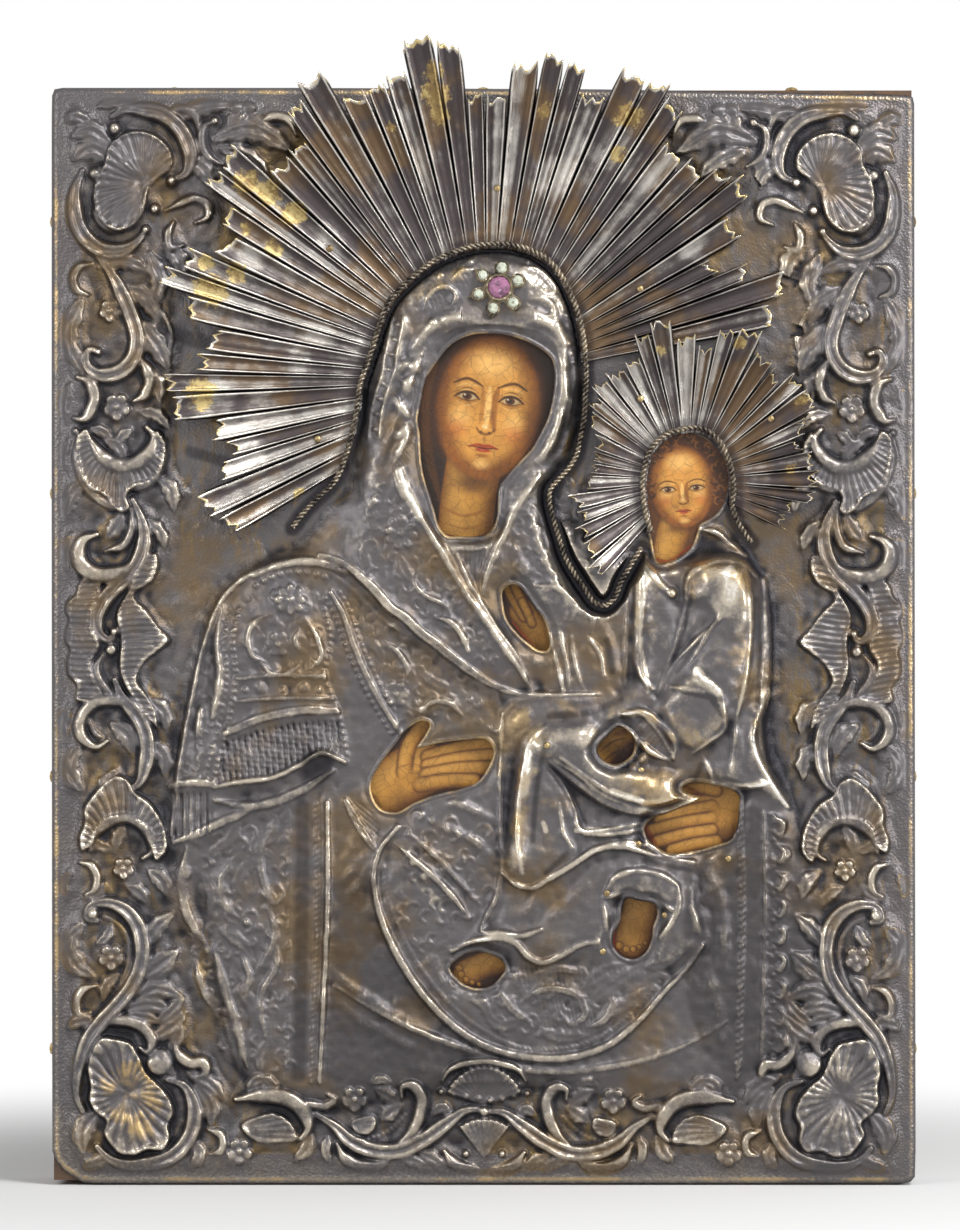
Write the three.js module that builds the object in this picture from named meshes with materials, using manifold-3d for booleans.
// A religious icon under a repousse metal cover. A two-board panel carries canvas, gesso and paint.
// A chased sheet with openings over the painted faces, hands and feet is folded over its sides. Two
// rayed nimbi with twisted rims, a jewelled star, pins, tacks and a hanging ring complete it.
// Millimetres, X to the right, Z up, the front faces -Y. The origin is the middle of the bottom face.
import * as THREE from 'three';
import { mergeVertices } from 'three/addons/utils/BufferGeometryUtils.js';
import Module from 'manifold-3d';

const wasm = await Module();
wasm.setup();

// Driving dimensions
const COVER_W = 250;
const COVER_H = 317;
const SHEET_T = 0.8;
const SKIRT_DEPTH = 25.5;
const RELIEF_H = 10;
const BOARD_T = 24;
const CANVAS_T = 0.5;
const GESSO_T = 1.5;
const PAINT_T = 0.4;
const CLEAR = 0.3;
const OVERRUN = 2;

// Battens across the back
const BATTEN_W_WIDE = 26;
const BATTEN_W_NARROW = 21;
const BATTEN_SINK = 8;
const BATTEN_PROUD = 4;
const BATTEN_FLARE = 2;
const BATTEN_UPPER_SHARE = 0.7;
const BATTEN_LOWER_SHARE = 0.22;
const SEAM_SHARE = -0.07;

// Nimbi and their rims
const PLATE_T = 0.6;
const PLATE_LIFT = 1;
const ROPE_R = 1.4;
const MOTHER_PLEAT = 1.5;
const MOTHER_TIP_LIFT = 8.7;
const CHILD_PLEAT = 1.1;
const CHILD_TIP_LIFT = 7.8;
const UNDER_PLATE = 0.8;
const UNDER_ROPE = 1.1;

// Jewel on the hood
const JEWEL_SEAT_H = 5.2;
const JEWEL_BASE_R = 7.6;
const JEWEL_BASE_T = 0.9;
const COLLET_H = 1.6;
const COLLET_WALL = 0.5;
const CENTER_STONE_R = 3;
const SMALL_STONE_R = 1.55;
const STONE_RING_R = 5.7;
const STONE_RISE = 1.3;
const PRONG_REACH = 9.6;
const PRONG_W = 2.6;

// Pins and tacks
const PIN_HEAD_R = 1;
const PIN_HEAD_H = 0.6;
const PIN_SHANK_R = 0.45;
const PIN_BITE = 8;
const TACK_HEAD_R = 2;
const TACK_HEAD_H = 1.1;
const TACK_SHANK_R = 0.7;
const TACK_LENGTH = 11;
const TACK_SINK_R = 1.5;

// Staple and ring on the back
const WIRE_R = 1;
const STAPLE_HALF = 3.6;
const STAPLE_BITE = 9;
const RING_WIRE_R = 1.2;
const RING_R = 10;
const RING_GAP = 0.9;
const RING_DROP = 27;

// Planes of the stack, from the back to the front
const BOARD_FRONT = -BOARD_T / 2;
const CANVAS_FRONT = BOARD_FRONT - CANVAS_T;
const GESSO_FRONT = CANVAS_FRONT - GESSO_T;
const PAINT_FRONT = GESSO_FRONT - PAINT_T;
const SHEET_BACK = PAINT_FRONT - CLEAR;
const SHEET_FRONT = SHEET_BACK - SHEET_T;
const SKIRT_BACK = SHEET_FRONT + SKIRT_DEPTH;
const PANEL_INSET = SHEET_T + CLEAR;
const PANEL_W = COVER_W - 2 * PANEL_INSET;
const PANEL_H = COVER_H - 2 * PANEL_INSET;

// Places read from the photograph, in its own pixels
const LEFT_PX = 50.5;
const RIGHT_PX = 915.5;
const TOP_PX = 87;
const FOOT_PX = 1183;
const MIDDLE_PX = (LEFT_PX + RIGHT_PX) / 2;
const MM_X = COVER_W / (RIGHT_PX - LEFT_PX);
const MM_Z = COVER_H / (FOOT_PX - TOP_PX);

const OPENINGS_PX = {
  mother_face: [[426, 380], [440, 359], [459, 341], [488, 335], [519, 340], [544, 353], [554, 373],
    [552, 402], [540, 435], [519, 463], [500, 486], [496, 520], [490, 534], [460, 536], [447, 537],
    [434, 510], [421, 460], [417, 420]],
  child_face: [[651, 536], [643, 495], [650, 450], [668, 437], [700, 437], [725, 465], [726, 496],
    [708, 520], [696, 536], [680, 556], [657, 564]],
  mother_hand_left: [[371, 785], [395, 745], [424, 721], [429, 724], [415, 748], [465, 740], [491, 744],
    [489, 765], [459, 789], [395, 812]],
  child_hand: [[503, 590], [512, 585], [526, 596], [547, 632], [546, 652], [514, 630]],
  child_hand_low: [[596, 749], [618, 727], [633, 741], [625, 760], [603, 760]],
  mother_hand_right: [[646, 824], [682, 806], [699, 797], [681, 791], [687, 782], [728, 789], [738, 797],
    [735, 836], [694, 850], [662, 851]],
  foot_right: [[625, 898], [654, 904], [650, 940], [632, 958], [613, 945], [621, 918]],
  foot_left: [[450, 966], [474, 951], [505, 962], [486, 987], [461, 981]],
};

// Where the mother's rim runs, from its lower left end over the hood to the child's rim
const MOTHER_RIM_PX = [[293, 528], [320, 497], [345, 460], [357, 410], [365, 371], [381, 322], [402, 288],
  [436, 261], [480, 246], [516, 247], [551, 264], [577, 312], [586, 376], [581, 440], [568, 471],
  [550, 494], [558, 536], [576, 576], [596, 603], [610, 600], [626, 572], [641, 547]];
const CHILD_RIM_PX = [[651, 533], [643, 500], [648, 452], [668, 433], [698, 429], [720, 444], [732, 476],
  [732, 508], [751, 543]];
const MOTHER_CENTER_PX = [487, 380];
const CHILD_CENTER_PX = [687, 480];

// Reach of the rays, as tips in clockwise order from the lower left
const MOTHER_TIPS_PX = [[240, 532], [205, 500], [224, 463], [222, 433], [185, 419], [162, 400], [182, 370],
  [206, 335], [182, 308], [161, 278], [220, 247], [210, 180], [245, 155], [290, 165], [294, 105],
  [298, 77], [324, 80], [370, 92], [397, 57], [413, 38], [434, 37], [452, 47], [470, 95], [487, 112],
  [505, 88], [528, 58], [578, 60], [600, 93], [628, 78], [655, 67], [674, 77], [676, 140], [738, 170],
  [752, 195], [704, 262], [752, 273], [790, 284], [770, 322], [795, 330]];
const CHILD_TIPS_PX = [[612, 594], [596, 572], [578, 536], [572, 506], [592, 480], [602, 440], [604, 400],
  [612, 372], [632, 350], [648, 320], [663, 318], [690, 345], [715, 338], [737, 322], [755, 330],
  [770, 375], [816, 381], [818, 405], [797, 441], [822, 480], [810, 505], [787, 512], [787, 538]];

// Bold masses of the two figures: outline, width of the slope at its edge, and rise
const MASSES_PX = [
  { rise_share: 0.34, edge_px: 20, outline_px: [[345, 500], [300, 545], [255, 572], [233, 593], [211, 642],
    [196, 694], [187, 737], [174, 798], [170, 835], [184, 890], [196, 930], [220, 1020], [240, 1088],
    [484, 1096], [745, 1096], [796, 1078], [808, 1000], [810, 870], [800, 815], [772, 765], [764, 690],
    [766, 600], [742, 550], [640, 560], [560, 520]] },
  { rise_share: 0.52, edge_px: 18, outline_px: [[352, 505], [366, 430], [374, 368], [388, 318],
    [410, 286], [455, 260], [490, 254], [535, 266], [564, 296], [574, 340], [574, 410], [550, 482],
    [548, 530], [592, 618], [560, 664], [520, 696], [450, 668], [400, 640], [340, 570]] },
  { rise_share: 0.52, edge_px: 14, outline_px: [[250, 600], [291, 580], [326, 608], [338, 706],
    [350, 762], [300, 790], [236, 800], [178, 838], [182, 780], [208, 680], [224, 620]] },
  { rise_share: 0.46, edge_px: 16, outline_px: [[395, 826], [376, 870], [376, 901], [395, 947],
    [422, 990], [453, 1023], [480, 1042], [526, 1056], [572, 1056], [606, 1044], [664, 990], [706, 940],
    [730, 860], [640, 760], [600, 690], [520, 700], [440, 760]] },
  { rise_share: 0.66, edge_px: 12, outline_px: [[648, 560], [636, 610], [637, 670], [606, 698],
    [541, 694], [502, 714], [510, 752], [512, 837], [500, 873], [488, 915], [458, 948], [510, 962],
    [610, 962], [697, 956], [706, 930], [692, 862], [740, 792], [784, 806], [766, 752], [762, 660],
    [764, 600], [740, 556], [690, 556]] },
  { rise_share: 0.86, edge_px: 12, outline_px: [[516, 752], [522, 736], [560, 722], [596, 722],
    [640, 762], [700, 800], [690, 812], [636, 818], [590, 802], [548, 776], [532, 800], [530, 872],
    [512, 874], [508, 800]] },
  { rise_share: 0.82, edge_px: 12, outline_px: [[680, 590], [706, 562], [740, 562], [756, 600],
    [756, 650], [740, 700], [704, 752], [664, 744], [664, 690], [682, 650]] },
];

// Swellings of the dress over the masses, and hollows where the rise is negative
const SWELLS_PX = [
  { rise_share: 0.22, edge_px: 12, outline_px: [[698, 565], [724, 560], [742, 564], [752, 590],
    [754, 645], [748, 699], [728, 724], [692, 752], [666, 730], [660, 697], [690, 660], [706, 630],
    [700, 606], [684, 580]] },
  { rise_share: 0.13, edge_px: 8, outline_px: [[640, 560], [654, 572], [668, 598], [676, 622],
    [668, 656], [652, 686], [640, 684], [636, 620]] },
  { rise_share: -0.12, edge_px: 6, outline_px: [[731, 786], [766, 780], [751, 748]] },
  { rise_share: 0.08, edge_px: 8, outline_px: [[530, 590], [560, 580], [590, 596], [604, 640],
    [612, 692], [545, 694], [540, 640]] },
  { rise_share: 0.22, edge_px: 12, outline_px: [[526, 738], [547, 728], [589, 722], [618, 764],
    [676, 774], [690, 798], [656, 812], [618, 804], [580, 784], [555, 764], [534, 758]] },
  { rise_share: 0.18, edge_px: 12, outline_px: [[518, 750], [546, 764], [560, 800], [566, 834],
    [566, 862], [530, 884], [501, 874], [510, 826], [512, 790]] },
  { rise_share: -0.11, edge_px: 5, outline_px: [[562, 780], [618, 812], [582, 826]] },
  { rise_share: 0.1, edge_px: 12, outline_px: [[536, 924], [566, 892], [601, 862], [640, 856],
    [604, 900], [600, 940], [560, 952], [520, 934]] },
  { rise_share: 0.16, edge_px: 7, outline_px: [[612, 872], [646, 868], [676, 880], [672, 906],
    [640, 898], [606, 896]] },
];

// Beds of ornament in the left border, which the right border mirrors
const BORDER_BEDS_PX = [
  { rise_share: 0.17, edge_px: 12, outline_px: [[100, 96], [150, 92], [185, 108], [212, 160], [205, 195],
    [165, 240], [130, 262], [90, 252], [62, 225], [60, 190], [78, 160], [60, 135], [62, 108]] },
  { rise_share: 0.16, edge_px: 10, outline_px: [[190, 100], [255, 98], [300, 112], [298, 150],
    [275, 182], [225, 165], [205, 190]] },
  { rise_share: 0.12, edge_px: 8, outline_px: [[165, 205], [200, 192], [220, 208], [212, 226],
    [180, 235], [196, 270], [180, 285], [150, 250]] },
  { rise_share: 0.14, edge_px: 12, outline_px: [[100, 262], [150, 255], [175, 320], [172, 380],
    [165, 430], [60, 430], [58, 385], [80, 372], [56, 335], [64, 270]] },
  { rise_share: 0.22, edge_px: 10, outline_px: [[72, 440], [172, 440], [168, 475], [150, 500],
    [120, 508], [92, 500], [76, 478]] },
  { rise_share: 0.15, edge_px: 10, outline_px: [[60, 530], [110, 515], [150, 510], [172, 535],
    [150, 590], [120, 600], [70, 575]] },
  { rise_share: 0.16, edge_px: 8, outline_px: [[70, 600], [155, 595], [160, 650], [150, 695],
    [72, 700]] },
  { rise_share: 0.15, edge_px: 12, outline_px: [[62, 700], [120, 690], [172, 700], [160, 790],
    [140, 800], [60, 790]] },
  { rise_share: 0.23, edge_px: 8, outline_px: [[76, 850], [84, 815], [110, 790], [140, 790],
    [165, 815], [176, 850]] },
  { rise_share: 0.15, edge_px: 12, outline_px: [[64, 862], [165, 862], [160, 915], [182, 930],
    [190, 1025], [110, 1035], [62, 1035], [80, 990], [56, 940]] },
  { rise_share: 0.2, edge_px: 10, outline_px: [[66, 1040], [110, 1020], [160, 1035], [225, 1085],
    [215, 1130], [195, 1165], [140, 1178], [80, 1165], [66, 1100]] },
  { rise_share: 0.13, edge_px: 12, outline_px: [[245, 1088], [300, 1088], [360, 1095], [440, 1075],
    [500, 1056], [500, 1178], [380, 1174], [250, 1168], [210, 1150]] },
];

// Ridges of the left border, which the right border mirrors
const BORDER_RIDGES_PX = [
  [[112, 118], [145, 111], [180, 130], [191, 160], [172, 181]],
  [[83, 172], [75, 210], [92, 245], [128, 250], [146, 232]],
  [[150, 155], [130, 185], [112, 205]],
  [[165, 210], [195, 200], [208, 218]],
  [[95, 253], [125, 300], [138, 340], [125, 370], [95, 375], [88, 352]],
  [[140, 360], [150, 385], [135, 402], [95, 400], [80, 420]],
  [[80, 435], [80, 470], [115, 508], [155, 478], [165, 440], [130, 430]],
  [[133, 500], [145, 540], [118, 585], [97, 620], [116, 630]],
  [[135, 560], [90, 572], [80, 550], [98, 535]],
  [[78, 600], [70, 640], [78, 690]],
  [[152, 570], [146, 600], [160, 640], [150, 690]],
  [[112, 650], [98, 665], [122, 697], [148, 745], [130, 790]],
  [[140, 718], [110, 700], [82, 715], [85, 740], [108, 742]],
  [[80, 848], [85, 800], [120, 788], [165, 825], [160, 860]],
  [[92, 845], [115, 820], [145, 825], [145, 853]],
  [[88, 920], [110, 900], [143, 935], [140, 975], [105, 1018], [83, 1050]],
  [[92, 1108], [88, 1060], [110, 1035], [150, 1050], [174, 1110], [150, 1150], [110, 1140]],
  [[168, 1078], [195, 1105], [185, 1145], [145, 1165], [105, 1150]],
  [[245, 1095], [300, 1100], [333, 1103]],
  [[310, 1110], [335, 1130], [400, 1147], [455, 1120], [484, 1115]],
  [[338, 1145], [360, 1165], [390, 1157], [425, 1155], [450, 1172]],
  [[442, 1080], [465, 1064], [484, 1060]],
  [[215, 118], [250, 122], [290, 140]],
];
const BORDER_RIDGE = { half_px: 13, rise_share: 0.16 };

// Folds and hems of the dress
const FOLD_RIDGES_PX = [
  [[254, 574], [306, 562], [360, 578], [416, 630], [460, 666], [518, 693]],
  [[324, 596], [350, 656], [394, 736]],
  [[432, 534], [460, 584], [496, 636], [532, 692]],
  [[538, 478], [506, 526], [484, 576]],
  [[422, 340], [457, 322], [499, 317], [542, 323], [562, 338]],
  [[211, 642], [187, 737], [174, 798]],
  [[324, 800], [322, 900], [318, 1080]],
  [[370, 852], [376, 901], [422, 990], [480, 1042], [572, 1056], [664, 1006], [720, 930]],
  [[544, 760], [594, 796], [644, 813], [692, 802]],
  [[529, 743], [516, 790], [513, 837], [522, 876]],
  [[500, 873], [531, 887], [589, 851], [632, 845], [692, 858]],
  [[481, 926], [538, 926], [596, 870]],
  [[602, 893], [618, 868], [682, 861], [674, 905]],
  [[740, 800], [738, 940], [738, 1075]],
  [[760, 580], [766, 660], [754, 741], [786, 806]],
  [[714, 620], [688, 658], [660, 688]],
];
const FOLD_RIDGE = { half_px: 11, rise_share: 0.1 };

// Fixings, in the photograph's pixels or as shares of an edge's length
const COVER_PINS_PX = [[546, 745], [640, 770], [637, 843], [606, 892], [664, 914], [602, 950], [727, 858]];
const NIMBUS_PINS_PX = { mother: [[318, 440], [330, 250], [497, 190], [640, 290]],
  child: [[640, 400], [770, 420]] };
const JEWEL_PX = [498.7, 290];
const SIDE_TACK_SHARES = [0.12, 0.37, 0.63, 0.88];
const TOP_TACK_SHARES = [0.14, 0.5, 0.86];
const FOOT_TACK_SHARES = [0.16, 0.66, 0.84];

// Shares of the rope's radius, a grid cell or a part's own size
const FLAT_BAND_SHARE = 1.5;
const HOOD_INSET_SHARE = 2.4;
const UNDER_ROPE_SHARE = 0.85;
const EDGE_STEP_SHARE = 0.25;
const CROWN_SHARE = 0.7;
const STONE_TABLE_SHARE = 0.55;
const STONE_FOOT_SHARE = 0.6;
const PRONG_LEAN_SHARE = 0.35;

// Where the mother's rays lie down again beside the child's, and the turn of the stones
const FADE_START_DEG = 300.8;
const FADE_OVER_DEG = 28.65;
const STONE_TURN_DEG = -5.73;

// How finely the curved pieces are cut
const COLUMNS = 46;
const ROWS = 58;
const SNAP_SHARE = 0.42;
const MOTHER_RAYS = 43;
const CHILD_RAYS = 31;
const ROPE_STEPS = 46;
const ROUND = 8;

// Materials
const METALS = {
  silver: new THREE.MeshStandardMaterial({ color: 0x8b8986, roughness: 0.38, metalness: 1 }),
  nimbus: new THREE.MeshStandardMaterial({ color: 0x9a948c, roughness: 0.3, metalness: 1 }),
  wire: new THREE.MeshStandardMaterial({ color: 0x7d766b, roughness: 0.4, metalness: 1 }),
  iron: new THREE.MeshStandardMaterial({ color: 0x4a4340, roughness: 0.6, metalness: 0.9 }),
  brass: new THREE.MeshStandardMaterial({ color: 0x9a7b45, roughness: 0.45, metalness: 1 }),
};
const SOLIDS = {
  wood: new THREE.MeshStandardMaterial({ color: 0x5b3f28, roughness: 0.75, metalness: 0 }),
  canvas: new THREE.MeshStandardMaterial({ color: 0xa8956f, roughness: 0.9, metalness: 0 }),
  gesso: new THREE.MeshStandardMaterial({ color: 0xd9cfba, roughness: 0.85, metalness: 0 }),
  paint: new THREE.MeshStandardMaterial({ color: 0x9a6224, roughness: 0.4, metalness: 0 }),
  rose: new THREE.MeshStandardMaterial({ color: 0xb35c93, roughness: 0.05, metalness: 0 }),
  paste: new THREE.MeshStandardMaterial({ color: 0xcfcab8, roughness: 0.08, metalness: 0 }),
};

const icon = new THREE.Group();

function addPiece(name, geometry, material) {
  const mesh = new THREE.Mesh(geometry, material);
  mesh.name = name;
  icon.add(mesh);
}

// From the photograph's pixels to X and Z
function place([px, py]) {
  return new THREE.Vector2((px - MIDDLE_PX) * MM_X, (FOOT_PX - py) * MM_Z);
}

function mirrored(line) {
  return line.map(([px, py]) => [2 * MIDDLE_PX - px, py]);
}

function smooth(t) {
  const s = THREE.MathUtils.clamp(t, 0, 1);
  return s * s * (3 - 2 * s);
}

// Closed meshes to solids and back
function toSolid(geometry) {
  const bare = geometry.clone();
  bare.deleteAttribute('normal');
  bare.deleteAttribute('uv');
  const merged = mergeVertices(bare);
  const vertProperties = new Float32Array(merged.attributes.position.array);
  const triVerts = new Uint32Array(merged.index.array);
  return new wasm.Manifold(new wasm.Mesh({ numProp: 3, vertProperties, triVerts }));
}

function toGeometry(solid) {
  const mesh = solid.getMesh();
  const geometry = new THREE.BufferGeometry();
  geometry.setAttribute('position', new THREE.BufferAttribute(mesh.vertProperties, 3));
  geometry.setIndex(new THREE.BufferAttribute(mesh.triVerts, 1));
  geometry.computeVertexNormals();
  return geometry;
}

function cut(geometry, tools) {
  return toGeometry(tools.reduce((solid, tool) => solid.subtract(toSolid(tool)), toSolid(geometry)));
}

function join(geometries) {
  return toGeometry(geometries.map(toSolid).reduce((solid, other) => solid.add(other)));
}

// A prism of an outline in X and Z, from yFront back to yBack
function prism(outline, yFront, yBack) {
  const shape = new THREE.Shape(outline);
  const geometry = new THREE.ExtrudeGeometry(shape, { depth: yBack - yFront, bevelEnabled: false });
  return geometry.rotateX(Math.PI / 2).translate(0, yBack, 0);
}

function box(xLow, xHigh, yLow, yHigh, zLow, zHigh) {
  const geometry = new THREE.BoxGeometry(xHigh - xLow, yHigh - yLow, zHigh - zLow);
  return geometry.translate((xLow + xHigh) / 2, (yLow + yHigh) / 2, (zLow + zHigh) / 2);
}

// A body turned about Y, its profile given as [radius, y] from the lowest y to the highest
function turned(profile, sides) {
  return new THREE.LatheGeometry(profile.map(([r, y]) => new THREE.Vector2(r, y)), sides);
}

// A wire of round section along a curve
function wire(curve, radius, sides, steps) {
  const section = new THREE.Shape();
  for (let side = 0; side < sides; side += 1) {
    const angle = (side / sides) * Math.PI * 2;
    const point = [radius * Math.cos(angle), radius * Math.sin(angle)];
    if (side === 0) section.moveTo(...point);
    else section.lineTo(...point);
  }
  return new THREE.ExtrudeGeometry(section, { steps, extrudePath: curve, bevelEnabled: false });
}

// A geometry from shared points and triangles given as rows of three indices
function indexed(points, triangles) {
  const geometry = new THREE.BufferGeometry();
  const corners = points.flatMap((p) => [p.x, p.y, p.z]);
  geometry.setAttribute('position', new THREE.Float32BufferAttribute(corners, 3));
  geometry.setIndex(triangles.flat());
  geometry.computeVertexNormals();
  return geometry;
}

// Distance from a point to a line of points, and the nearest point on it
function nearest(line, x, y) {
  let best = { distance: Infinity, point: [x, y] };
  for (let n = 0; n + 1 < line.length; n += 1) {
    const [ax, ay] = line[n];
    const dx = line[n + 1][0] - ax;
    const dy = line[n + 1][1] - ay;
    const along = THREE.MathUtils.clamp(((x - ax) * dx + (y - ay) * dy) / (dx * dx + dy * dy), 0, 1);
    const point = [ax + along * dx, ay + along * dy];
    const distance = Math.hypot(x - point[0], y - point[1]);
    if (distance < best.distance) best = { distance, point };
  }
  return best;
}

function inside(outline, x, y) {
  let within = false;
  for (let n = 0, m = outline.length - 1; n < outline.length; m = n, n += 1) {
    const [ax, ay] = outline[n];
    const [bx, by] = outline[m];
    if ((ay > y) !== (by > y) && x < ((bx - ax) * (y - ay)) / (by - ay) + ax) within = !within;
  }
  return within;
}

// Angle of a point about a centre, clockwise as seen from the front, and its distance
function polar([cx, cy], [px, py]) {
  let angle = Math.atan2(py - cy, px - cx);
  if (angle < Math.PI / 2) angle += Math.PI * 2;
  return { angle, reach: Math.hypot(px - cx, py - cy) };
}

// How far a line of points lies from a centre at an angle
function reachAt(center, line, angle) {
  const marks = line.map((point) => polar(center, point)).sort((a, b) => a.angle - b.angle);
  if (angle <= marks[0].angle) return marks[0].reach;
  for (let n = 0; n + 1 < marks.length; n += 1) {
    const [a, b] = [marks[n], marks[n + 1]];
    if (angle <= b.angle) {
      const t = (angle - a.angle) / Math.max(b.angle - a.angle, Number.EPSILON);
      return a.reach + t * (b.reach - a.reach);
    }
  }
  return marks[marks.length - 1].reach;
}

// The two plates of rays. Angles are turned clockwise from the photograph's right, in degrees.
const ROPE_PX = ROPE_R / MM_X;
const MOTHER_NIMBUS = {
  center: MOTHER_CENTER_PX,
  rim: MOTHER_RIM_PX.slice(1, 14),
  tips: MOTHER_TIPS_PX,
  start_deg: 148,
  end_deg: 350,
  rays: MOTHER_RAYS,
  pleat: MOTHER_PLEAT,
  tipLift: MOTHER_TIP_LIFT,
  liftFade: (angle) => 1 - smooth((THREE.MathUtils.radToDeg(angle) - FADE_START_DEG) / FADE_OVER_DEG),
};
const CHILD_NIMBUS = {
  center: CHILD_CENTER_PX,
  rim: CHILD_RIM_PX,
  tips: CHILD_TIPS_PX,
  start_deg: 131,
  end_deg: 389,
  rays: CHILD_RAYS,
  pleat: CHILD_PLEAT,
  tipLift: CHILD_TIP_LIFT,
  liftFade: () => 1,
};

// Height of a plate's back over the sheet at a share of the way from its rim to its tips
function plateLift(plate, share, angle) {
  return PLATE_LIFT + plate.tipLift * plate.liftFade(angle) * share * share;
}

function plateSpan(plate, angle) {
  const rim = reachAt(plate.center, plate.rim, angle);
  const outer = reachAt(plate.center, plate.tips, angle);
  return { inner: rim - ROPE_PX, band: rim + FLAT_BAND_SHARE * ROPE_PX, outer };
}

const PLATE_RING_SHARES = [0.5, 0.85, 1];

// Across one ray: places of its low edge, two ridges and the trough between, and what each folds up
// and loses of the ray's length at the torn end
const RAY_PLACE_SHARES = [0, 0.18, 0.5, 0.82];
const RAY_FOLD_SHARES = [0, 1, 0.35, 1];
const RAY_LOSS_SHARES = [0.1, 0, 0.05, 0];

// Widths of the rays change a little from one to the next
const WIDTH_WAVE_SHARE = 0.2;
const WIDTH_WAVE_TURN = 1.7;

function rayBounds(plate) {
  const widths = Array.from({ length: plate.rays },
    (_, n) => 1 + WIDTH_WAVE_SHARE * Math.sin(WIDTH_WAVE_TURN * n));
  const whole = widths.reduce((sum, width) => sum + width, 0);
  const bounds = [THREE.MathUtils.degToRad(plate.start_deg)];
  const turn = THREE.MathUtils.degToRad(plate.end_deg - plate.start_deg);
  for (const width of widths) bounds.push(bounds[bounds.length - 1] + (turn * width) / whole);
  return bounds;
}

// One plate: flat where the rim lies on it, then pleated into rays that end in tips and notches
function nimbusPlate(plate) {
  const front = [];
  const back = [];
  const bounds = rayBounds(plate);
  const places = RAY_PLACE_SHARES.length;
  for (let column = 0; column <= places * plate.rays; column += 1) {
    const ray = Math.min(Math.floor(column / places), plate.rays - 1);
    const kind = column % places;
    const within = column === places * plate.rays ? 1 : RAY_PLACE_SHARES[kind];
    const angle = bounds[ray] + within * (bounds[ray + 1] - bounds[ray]);
    const { inner, band, outer } = plateSpan(plate, angle);
    const edge = outer - RAY_LOSS_SHARES[kind] * (outer - band);
    const rings = [
      { reach: inner, fold: 0 },
      { reach: band, fold: 0 },
      ...PLATE_RING_SHARES.map((share) => (
        { reach: band + share * (edge - band), fold: RAY_FOLD_SHARES[kind] })),
    ];
    const point = ({ reach, fold }, thick) => {
      const share = THREE.MathUtils.clamp((reach - band) / (outer - band), 0, 1);
      const [cx, cy] = plate.center;
      const { x, y } = place([cx + reach * Math.cos(angle), cy + reach * Math.sin(angle)]);
      const rise = plateLift(plate, share, angle) + fold * plate.pleat + thick;
      return new THREE.Vector3(x, SHEET_FRONT - rise, y);
    };
    front.push(rings.map((ring) => point(ring, PLATE_T)));
    back.push(rings.map((ring) => point(ring, 0)));
  }
  return closedShell(front, back);
}

// Closes two matching grids of points into one thin body. The front grid faces -Y.
function gridFaces(grid, offset, flipped) {
  const rows = grid[0].length;
  const faces = [];
  for (let i = 0; i + 1 < grid.length; i += 1) {
    for (let j = 0; j + 1 < rows; j += 1) {
      const [a, b] = [offset + i * rows + j, offset + (i + 1) * rows + j];
      const quad = [[a, b, b + 1], [a, b + 1, a + 1]];
      faces.push(...quad.map((face) => (flipped ? face.reverse() : face)));
    }
  }
  return faces;
}

function gridSides(grid, offset) {
  const [columns, rows] = [grid.length, grid[0].length];
  const at = (i, j) => offset + i * rows + j;
  return [
    grid.map((_, i) => at(i, 0)),
    grid[0].map((_, j) => at(columns - 1, j)),
    grid.map((_, i) => at(columns - 1 - i, rows - 1)),
    grid[0].map((_, j) => at(0, rows - 1 - j)),
  ];
}

function closedShell(front, back) {
  const count = front.length * front[0].length;
  const faces = [...gridFaces(front, 0, false), ...gridFaces(back, count, true)];
  for (const side of gridSides(front, 0)) {
    for (let n = 0; n + 1 < side.length; n += 1) {
      const [p, q] = [side[n], side[n + 1]];
      faces.push([p, p + count, q], [q, p + count, q + count]);
    }
  }
  return indexed([...front.flat(), ...back.flat()], faces);
}

// Relief of the sheet over its flat ground
const CELL_X_PX = (RIGHT_PX - LEFT_PX) / COLUMNS;
const CELL_Z_PX = (FOOT_PX - TOP_PX) / ROWS;
const CELL_PX = Math.max(CELL_X_PX, CELL_Z_PX);
const ALL_BORDER_PX = [...BORDER_RIDGES_PX, ...BORDER_RIDGES_PX.map(mirrored)];
const ALL_BEDS_PX = BORDER_BEDS_PX.flatMap((bed) => [bed, { ...bed, outline_px: mirrored(bed.outline_px) }]);
const HOOD_LINE_PX = inset(MOTHER_RIM_PX.slice(0, 15), MOTHER_CENTER_PX, HOOD_INSET_SHARE * ROPE_PX);
const CREASES_PX = [HOOD_LINE_PX, ...ALL_BORDER_PX, ...FOLD_RIDGES_PX];

function inset(line, [cx, cy], distance) {
  return line.map(([px, py]) => {
    const reach = Math.hypot(px - cx, py - cy);
    return [cx + (px - cx) * (1 - distance / reach), cy + (py - cy) * (1 - distance / reach)];
  });
}

function massShare({ outline_px, edge_px, rise_share }, px, py) {
  if (!inside(outline_px, px, py)) return 0;
  const { distance } = nearest([...outline_px, outline_px[0]], px, py);
  return rise_share * smooth(distance / edge_px + EDGE_STEP_SHARE);
}

function ridgeShare(lines, { half_px, rise_share }, px, py) {
  const distance = Math.min(...lines.map((line) => nearest(line, px, py).distance));
  return rise_share * smooth(1 - distance / half_px);
}

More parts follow.
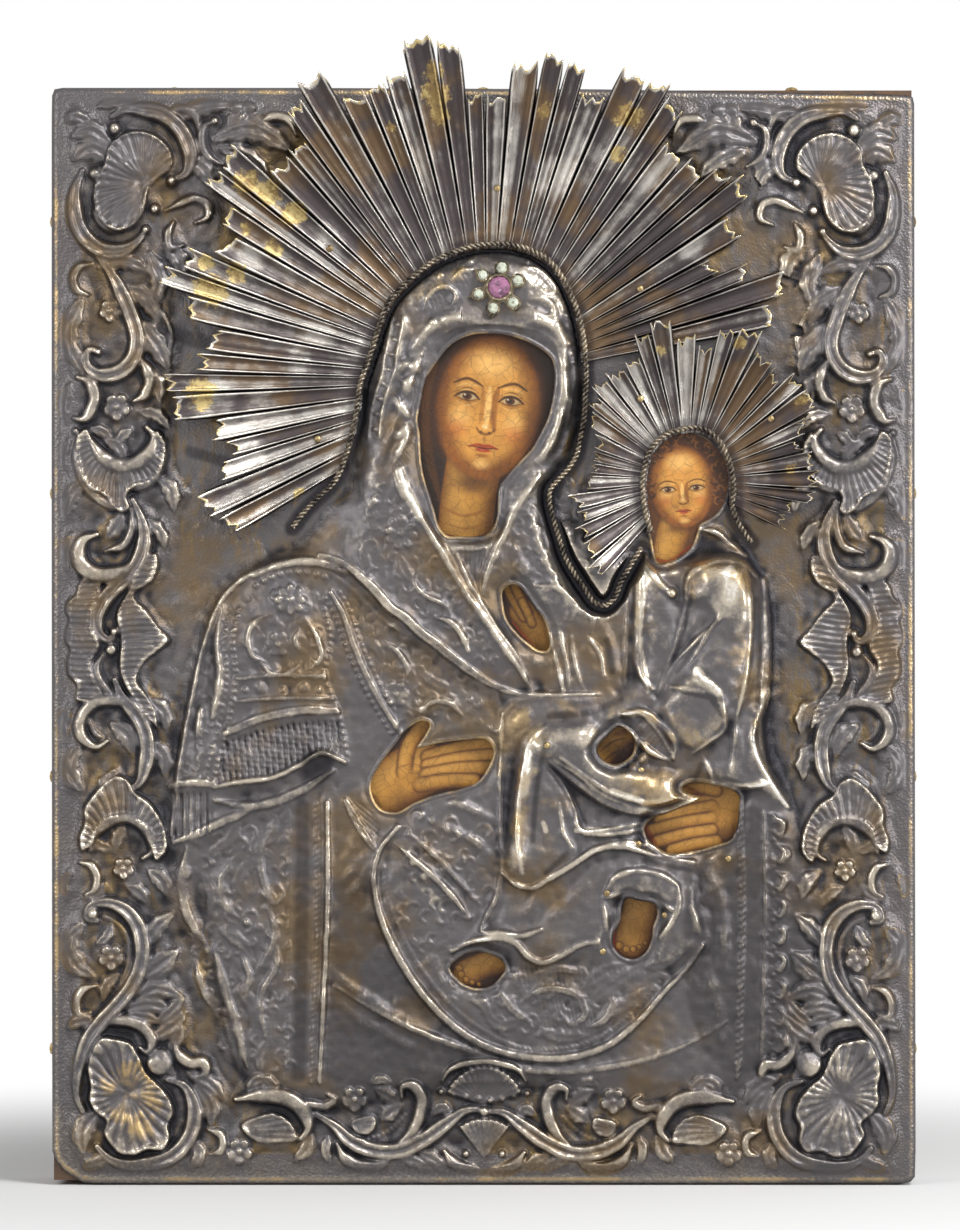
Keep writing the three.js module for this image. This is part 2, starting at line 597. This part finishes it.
// The most that the sheet may rise under a plate, a rim or the jewel
function ceiling(px, py) {
  let limit = RELIEF_H;
  for (const plate of [MOTHER_NIMBUS, CHILD_NIMBUS]) {
    const { angle, reach } = polar(plate.center, [px, py]);
    const pad = CELL_PX / reach;
    const low = THREE.MathUtils.degToRad(plate.start_deg) - pad;
    const high = THREE.MathUtils.degToRad(plate.end_deg) + pad;
    const { inner, band, outer } = plateSpan(plate, angle);
    const turn = angle < low ? angle + Math.PI * 2 : angle;
    const beside = turn < low || turn > high;
    if (beside || reach < inner - FLAT_BAND_SHARE * ROPE_PX || reach > outer + CELL_PX) continue;
    const share = THREE.MathUtils.clamp((reach - CELL_PX - band) / (outer - band), 0, 1);
    limit = Math.min(limit, plateLift(plate, share, turn) - UNDER_PLATE);
  }
  for (const rim of [MOTHER_RIM_PX, CHILD_RIM_PX]) {
    const near = nearest(rim, px, py).distance < ROPE_PX + UNDER_ROPE_SHARE * CELL_PX;
    if (near) limit = Math.min(limit, UNDER_ROPE);
  }
  const toJewel = Math.hypot(px - JEWEL_PX[0], py - JEWEL_PX[1]) * MM_X;
  if (toJewel < PRONG_REACH + CELL_PX * MM_X) limit = Math.min(limit, JEWEL_SEAT_H);
  return limit;
}

function relief(px, py) {
  const shares = (beds) => beds.map((bed) => massShare(bed, px, py));
  const mass = Math.max(...shares(MASSES_PX));
  const swell = shares(SWELLS_PX).reduce((sum, share) => sum + share, 0);
  const border = Math.max(...shares(ALL_BEDS_PX)) + ridgeShare(ALL_BORDER_PX, BORDER_RIDGE, px, py);
  const fold = mass > 0 ? ridgeShare(FOLD_RIDGES_PX, FOLD_RIDGE, px, py) : 0;
  const rise = RELIEF_H * THREE.MathUtils.clamp(Math.max(mass + swell, border) + fold, 0, 1);
  return Math.min(ceiling(px, py), rise);
}

// Grid of the sheet in pixels, with its inner points drawn onto the nearest ridge line
function sheetGrid() {
  const grid = [];
  for (let i = 0; i <= COLUMNS; i += 1) {
    const column = [];
    for (let j = 0; j <= ROWS; j += 1) {
      const home = [LEFT_PX + i * CELL_X_PX, FOOT_PX - j * CELL_Z_PX];
      const edge = i === 0 || j === 0 || i === COLUMNS || j === ROWS;
      column.push(edge ? home : drawnToRidge(home));
    }
    grid.push(column);
  }
  return grid;
}

function drawnToRidge([px, py]) {
  const found = CREASES_PX.map((line) => nearest(line, px, py))
    .reduce((a, b) => (a.distance < b.distance ? a : b));
  return found.distance < SNAP_SHARE * CELL_PX ? found.point : [px, py];
}

// The sheet with its four skirts, one body open at the back
function coverShell() {
  const grid = sheetGrid();
  const layer = (edge, y) => grid.map((column) => column.map(([px, py]) => {
    const { x, y: z } = place([px, py]);
    const half = COVER_W / 2 - edge;
    const flatX = THREE.MathUtils.clamp(x, -half, half);
    const flatZ = THREE.MathUtils.clamp(z, edge, COVER_H - edge);
    const onRim = Math.abs(x) > half || z < edge || z > COVER_H - edge;
    return new THREE.Vector3(flatX, y - (onRim ? 0 : relief(px, py)), flatZ);
  }));
  const front = layer(0, SHEET_FRONT);
  const back = layer(SHEET_T, SHEET_BACK);
  const count = front.length * front[0].length;
  const corners = (edge) => [[-1, 0], [1, 0], [1, 1], [-1, 1]].map(([sideX, sideZ]) => (
    new THREE.Vector3(sideX * (COVER_W / 2 - edge), SKIRT_BACK, sideZ ? COVER_H - edge : edge)));
  const points = [...front.flat(), ...back.flat(), ...corners(0), ...corners(SHEET_T)];
  const faces = [...gridFaces(front, 0, false), ...gridFaces(back, count, true)];
  const outer = 2 * count;
  const inner = outer + 4;
  gridSides(front, 0).forEach((side, s) => {
    const next = (s + 1) % 4;
    const last = side[side.length - 1];
    for (let n = 0; n + 1 < side.length; n += 1) {
      faces.push([side[n], outer + s, side[n + 1]]);
      faces.push([side[n] + count, side[n + 1] + count, inner + s]);
    }
    faces.push([last, outer + s, outer + next], [last + count, inner + next, inner + s]);
    faces.push([outer + next, outer + s, inner + s], [outer + next, inner + s, inner + next]);
  });
  return indexed(points, faces);
}

// The frontmost face of a body in front of a round spot
function frontOf(geometry, x, z, radius) {
  const mesh = new THREE.Mesh(geometry, new THREE.MeshBasicMaterial({ side: THREE.DoubleSide }));
  const spots = [[0, 0]];
  for (let turn = 0; turn < ROUND; turn += 1) {
    const angle = (turn / ROUND) * Math.PI * 2;
    spots.push([radius * Math.cos(angle), radius * Math.sin(angle)]);
  }
  const from = SHEET_FRONT - COVER_W;
  const direction = new THREE.Vector3(0, 1, 0);
  const hits = spots.map(([dx, dz]) => {
    const ray = new THREE.Raycaster(new THREE.Vector3(x + dx, from, z + dz), direction);
    const [hit] = ray.intersectObject(mesh);
    return hit ? hit.point.y : 0;
  });
  return Math.min(...hits);
}

function pinShape(yHead, yTip) {
  return turned([[0, yHead - PIN_HEAD_H],
    [CROWN_SHARE * PIN_HEAD_R, yHead - CROWN_SHARE * PIN_HEAD_H], [PIN_HEAD_R, yHead],
    [PIN_SHANK_R, yHead], [PIN_SHANK_R, yTip - PIN_SHANK_R], [0, yTip]], 6);
}

function pinHole(x, z, yFront, yTip) {
  const radius = PIN_SHANK_R + CLEAR;
  const depth = yTip + CLEAR - yFront;
  const geometry = new THREE.CylinderGeometry(radius, radius, depth, 6);
  return geometry.translate(x, yFront + depth / 2, z);
}

// Cover, nimbi and rims
const openings = Object.values(OPENINGS_PX).map((outline) => (
  prism(outline.map(place), SHEET_FRONT - 2 * RELIEF_H, SHEET_BACK + SHEET_T)));
let cover = cut(coverShell(), openings);
const plates = { mother: nimbusPlate(MOTHER_NIMBUS), child: nimbusPlate(CHILD_NIMBUS) };

function rim(line) {
  const y = SHEET_FRONT - PLATE_LIFT - PLATE_T - CLEAR - ROPE_R;
  const curve = new THREE.CatmullRomCurve3(line.map((point) => {
    const { x, y: z } = place(point);
    return new THREE.Vector3(x, y, z);
  }));
  const steps = Math.round((ROPE_STEPS * line.length) / MOTHER_RIM_PX.length);
  return wire(curve, ROPE_R, 6, steps);
}

// Pins through the sheet or a nimbus into the boards
const PIN_TIP = BOARD_FRONT + PIN_BITE;
const pins = [];
for (const [index, spot] of COVER_PINS_PX.entries()) {
  pins.push({ name: `cover_pin_${index + 1}`, at: place(spot), carriers: [cover] });
}
for (const [who, spots] of Object.entries(NIMBUS_PINS_PX)) {
  for (const [index, spot] of spots.entries()) {
    const carriers = [plates.mother, plates.child];
    pins.push({ name: `${who}_nimbus_pin_${index + 1}`, at: place(spot), carriers });
  }
}
for (const pin of pins) {
  const { x, y: z } = pin.at;
  const head = Math.min(...pin.carriers.map((carrier) => frontOf(carrier, x, z, PIN_HEAD_R))) - CLEAR;
  addPiece(pin.name, pinShape(head, PIN_TIP).translate(x, 0, z), METALS.brass);
  pin.hole = pinHole(x, z, head - OVERRUN, PIN_TIP);
}
const pinHoles = pins.map((pin) => pin.hole);

// Tacks through the skirts into the edges of the boards, drawn along +Y and then turned into place
const TACK_SPOTS = [
  ...SIDE_TACK_SHARES.map((share) => ({ side: 'left', at: [-COVER_W / 2, share * COVER_H] })),
  ...SIDE_TACK_SHARES.map((share) => ({ side: 'right', at: [COVER_W / 2, share * COVER_H] })),
  ...TOP_TACK_SHARES.map((share) => ({ side: 'top', at: [(share - 0.5) * COVER_W, COVER_H] })),
  ...FOOT_TACK_SHARES.map((share) => ({ side: 'foot', at: [(share - 0.5) * COVER_W, 0] })),
];

// Quarter turns about X and Z that point a tack inwards from each side
const TACK_TURNS = { left: [0, -1], right: [0, 1], top: [-1, 0], foot: [1, 0] };

function setInEdge(geometry, { side, at }) {
  const [turnX, turnZ] = TACK_TURNS[side];
  const quarter = Math.PI / 2;
  geometry.rotateX(turnX * quarter).rotateZ(turnZ * quarter);
  return geometry.translate(at[0], 0, at[1]);
}

function tackShape(flush) {
  if (flush) {
    return turned([[0, 0], [TACK_SINK_R, 0], [TACK_SHANK_R, SHEET_T],
      [TACK_SHANK_R, TACK_LENGTH - TACK_SHANK_R], [0, TACK_LENGTH]], ROUND);
  }
  return turned([[0, -CLEAR - TACK_HEAD_H], [CROWN_SHARE * TACK_HEAD_R, -CLEAR - CROWN_SHARE * TACK_HEAD_H],
    [TACK_HEAD_R, -CLEAR], [TACK_SHANK_R, -CLEAR], [TACK_SHANK_R, TACK_LENGTH - TACK_SHANK_R],
    [0, TACK_LENGTH]], ROUND);
}

function tackHole(flush) {
  const wall = TACK_SHANK_R + CLEAR;
  const mouth = flush ? TACK_SINK_R + CLEAR : wall;
  return turned([[0, -OVERRUN], [mouth, -OVERRUN], [mouth, 0], [wall, SHEET_T], [wall, TACK_LENGTH + CLEAR],
    [0, TACK_LENGTH + CLEAR]], ROUND);
}

const tackHoles = [];
const tackCounts = {};
for (const spot of TACK_SPOTS) {
  const flush = spot.side === 'foot';
  tackCounts[spot.side] = (tackCounts[spot.side] ?? 0) + 1;
  addPiece(`tack_${spot.side}_${tackCounts[spot.side]}`, setInEdge(tackShape(flush), spot), METALS.iron);
  tackHoles.push(setInEdge(tackHole(flush), spot));
}

// Panel: two boards with dovetail grooves for the battens
const SEAM_X = SEAM_SHARE * COVER_W;
const PANEL_LEFT = -PANEL_W / 2;
const PANEL_RIGHT = PANEL_W / 2;
const PANEL_FOOT = PANEL_INSET;
const PANEL_TOP = COVER_H - PANEL_INSET;
const BOARD_BACK = BOARD_T / 2;

// A tapered dovetail bar along X, wider at its foot, which lies inside the board
function dovetail(z, wideOnLeft, grow) {
  const section = (x, width) => {
    const y0 = BOARD_BACK - BATTEN_SINK - grow;
    const half = width / 2 + grow;
    return [[half + BATTEN_FLARE, y0], [half, BOARD_BACK], [half, BOARD_BACK + BATTEN_PROUD + grow]]
      .flatMap(([dz, y]) => [new THREE.Vector3(x, y, z - dz), new THREE.Vector3(x, y, z + dz)]);
  };
  const [left, right] = wideOnLeft ? [BATTEN_W_WIDE, BATTEN_W_NARROW] : [BATTEN_W_NARROW, BATTEN_W_WIDE];
  const overrun = grow > 0 ? OVERRUN : 0;
  const points = [...section(PANEL_LEFT - overrun, left), ...section(PANEL_RIGHT + overrun, right)];
  const ring = [0, 2, 4, 5, 3, 1];
  const faces = [[0, 2, 3], [0, 3, 1], [2, 4, 5], [2, 5, 3]];
  const far = faces.map((face) => face.map((index) => index + 6).reverse());
  const walls = ring.flatMap((a, n) => {
    const b = ring[(n + 1) % ring.length];
    return [[a, a + 6, b], [b, a + 6, b + 6]];
  });
  return outward(indexed(points, [...faces, ...far, ...walls]));
}

// Turns a closed body right side out where its faces point inwards
function outward(geometry) {
  const position = geometry.attributes.position;
  const corner = [0, 1, 2].map(() => new THREE.Vector3());
  const index = Array.from(geometry.index.array);
  let volume = 0;
  for (let n = 0; n < index.length; n += 3) {
    corner.forEach((point, k) => point.fromBufferAttribute(position, index[n + k]));
    volume += corner[0].dot(corner[1].clone().cross(corner[2]));
  }
  if (volume < 0) geometry.setIndex(index.reverse());
  return geometry;
}

const battens = [
  { name: 'batten_upper', z: BATTEN_UPPER_SHARE * COVER_H, wideOnLeft: true },
  { name: 'batten_lower', z: BATTEN_LOWER_SHARE * COVER_H, wideOnLeft: false },
];
for (const { name, z, wideOnLeft } of battens) addPiece(name, dovetail(z, wideOnLeft, 0), SOLIDS.wood);
const grooves = battens.map(({ z, wideOnLeft }) => dovetail(z, wideOnLeft, CLEAR));

// Staple and ring near the top of the back
const RING_Z = COVER_H - RING_DROP;
const RING_Y = BOARD_BACK + RING_WIRE_R + RING_GAP;
const STAPLE_ARCH_Y = RING_Y + RING_WIRE_R + RING_GAP + WIRE_R;

function stapleCurve() {
  const legTip = BOARD_BACK - STAPLE_BITE;
  const bend = STAPLE_ARCH_Y - STAPLE_HALF;
  const at = (dz, y) => new THREE.Vector3(0, y, RING_Z + dz);
  const points = [at(-STAPLE_HALF, legTip), at(-STAPLE_HALF, (legTip + bend) / 2)];
  for (let turn = 0; turn <= 6; turn += 1) {
    const angle = (turn / 6) * Math.PI;
    points.push(at(-STAPLE_HALF * Math.cos(angle), bend + STAPLE_HALF * Math.sin(angle)));
  }
  points.push(at(STAPLE_HALF, (legTip + bend) / 2), at(STAPLE_HALF, legTip));
  return new THREE.CatmullRomCurve3(points, false, 'chordal');
}

const stapleHoles = [-1, 1].map((side) => {
  const reach = STAPLE_BITE + OVERRUN + CLEAR;
  const geometry = new THREE.CylinderGeometry(WIRE_R + CLEAR, WIRE_R + CLEAR, reach, ROUND);
  return geometry.translate(0, BOARD_BACK + OVERRUN - reach / 2, RING_Z + side * STAPLE_HALF);
});
addPiece('ring_staple', wire(stapleCurve(), WIRE_R, ROUND, 22), METALS.iron);
const ring = new THREE.TorusGeometry(RING_R, RING_WIRE_R, ROUND, 24);
addPiece('hang_ring', ring.rotateX(Math.PI / 2).translate(0, RING_Y, RING_Z - RING_R), METALS.iron);

const panelHoles = [...pinHoles, ...tackHoles, ...stapleHoles];
const boards = { board_left: [PANEL_LEFT, SEAM_X], board_right: [SEAM_X, PANEL_RIGHT] };
for (const [name, [low, high]] of Object.entries(boards)) {
  const plank = box(low, high, BOARD_FRONT, BOARD_BACK, PANEL_FOOT, PANEL_TOP);
  addPiece(name, cut(plank, [...grooves, ...panelHoles]), SOLIDS.wood);
}
const layers = [
  { name: 'canvas_layer', front: CANVAS_FRONT, back: BOARD_FRONT, material: SOLIDS.canvas },
  { name: 'gesso_ground', front: GESSO_FRONT, back: CANVAS_FRONT, material: SOLIDS.gesso },
  { name: 'painted_panel', front: PAINT_FRONT, back: GESSO_FRONT, material: SOLIDS.paint },
];
for (const { name, front, back, material } of layers) {
  addPiece(name, cut(box(PANEL_LEFT, PANEL_RIGHT, front, back, PANEL_FOOT, PANEL_TOP), pinHoles), material);
}

addPiece('repousse_cover', cut(cover, [...pinHoles, ...tackHoles]), METALS.silver);
addPiece('mother_nimbus', cut(plates.mother, pinHoles), METALS.nimbus);
addPiece('child_nimbus', cut(plates.child, pinHoles), METALS.nimbus);
addPiece('mother_nimbus_rim', rim(MOTHER_RIM_PX), METALS.wire);
addPiece('child_nimbus_rim', rim(CHILD_RIM_PX), METALS.wire);

// Jewel: a base with seven collets, a pointed prong and the stones
const jewelAt = place(JEWEL_PX);
const JEWEL_BACK = frontOf(cover, jewelAt.x, jewelAt.y, JEWEL_BASE_R) - CLEAR;
const JEWEL_FRONT = JEWEL_BACK - JEWEL_BASE_T;
const stoneSpots = [{ name: 'jewel_center_stone', at: [0, 0], r: CENTER_STONE_R, material: SOLIDS.rose }];
for (let n = 0; n < 6; n += 1) {
  const angle = ((n + 0.5) / 6) * Math.PI * 2 + THREE.MathUtils.degToRad(STONE_TURN_DEG);
  const at = [STONE_RING_R * Math.cos(angle), STONE_RING_R * Math.sin(angle)];
  stoneSpots.push({ name: `jewel_stone_${n + 1}`, at, r: SMALL_STONE_R, material: SOLIDS.paste });
}

// A collet is an open cup: its wall stands on the base round the stone
function collet(radius) {
  const outer = radius + CLEAR + COLLET_WALL;
  const inner = radius + CLEAR;
  const low = JEWEL_FRONT + 0.5 * JEWEL_BASE_T;
  const top = JEWEL_FRONT - COLLET_H;
  return turned([[inner, top], [outer, top], [outer, low], [inner, low], [inner, top]], ROUND);
}

function stone(radius) {
  const back = JEWEL_FRONT - CLEAR;
  const girdle = JEWEL_FRONT - COLLET_H;
  const table = girdle - STONE_RISE;
  return turned([[0, table], [STONE_TABLE_SHARE * radius, table], [radius, girdle],
    [STONE_FOOT_SHARE * radius, back], [0, back]], ROUND);
}

const prong = prism([[-PRONG_W / 2, 0], [PRONG_W / 2, 0], [-PRONG_LEAN_SHARE * PRONG_REACH, -PRONG_REACH]]
  .map(([x, z]) => new THREE.Vector2(x, z)), JEWEL_FRONT, JEWEL_BACK);
const disc = [[0, JEWEL_FRONT], [JEWEL_BASE_R, JEWEL_FRONT], [JEWEL_BASE_R, JEWEL_BACK], [0, JEWEL_BACK]];
const base = turned(disc, 12);
const cups = stoneSpots.map(({ at, r }) => collet(r).translate(at[0], 0, at[1]));
addPiece('jewel_mount', join([base, prong, ...cups]).translate(jewelAt.x, 0, jewelAt.y), METALS.brass);
for (const { name, at, r, material } of stoneSpots) {
  addPiece(name, stone(r).translate(jewelAt.x + at[0], 0, jewelAt.y + at[1]), material);
}

export default icon;
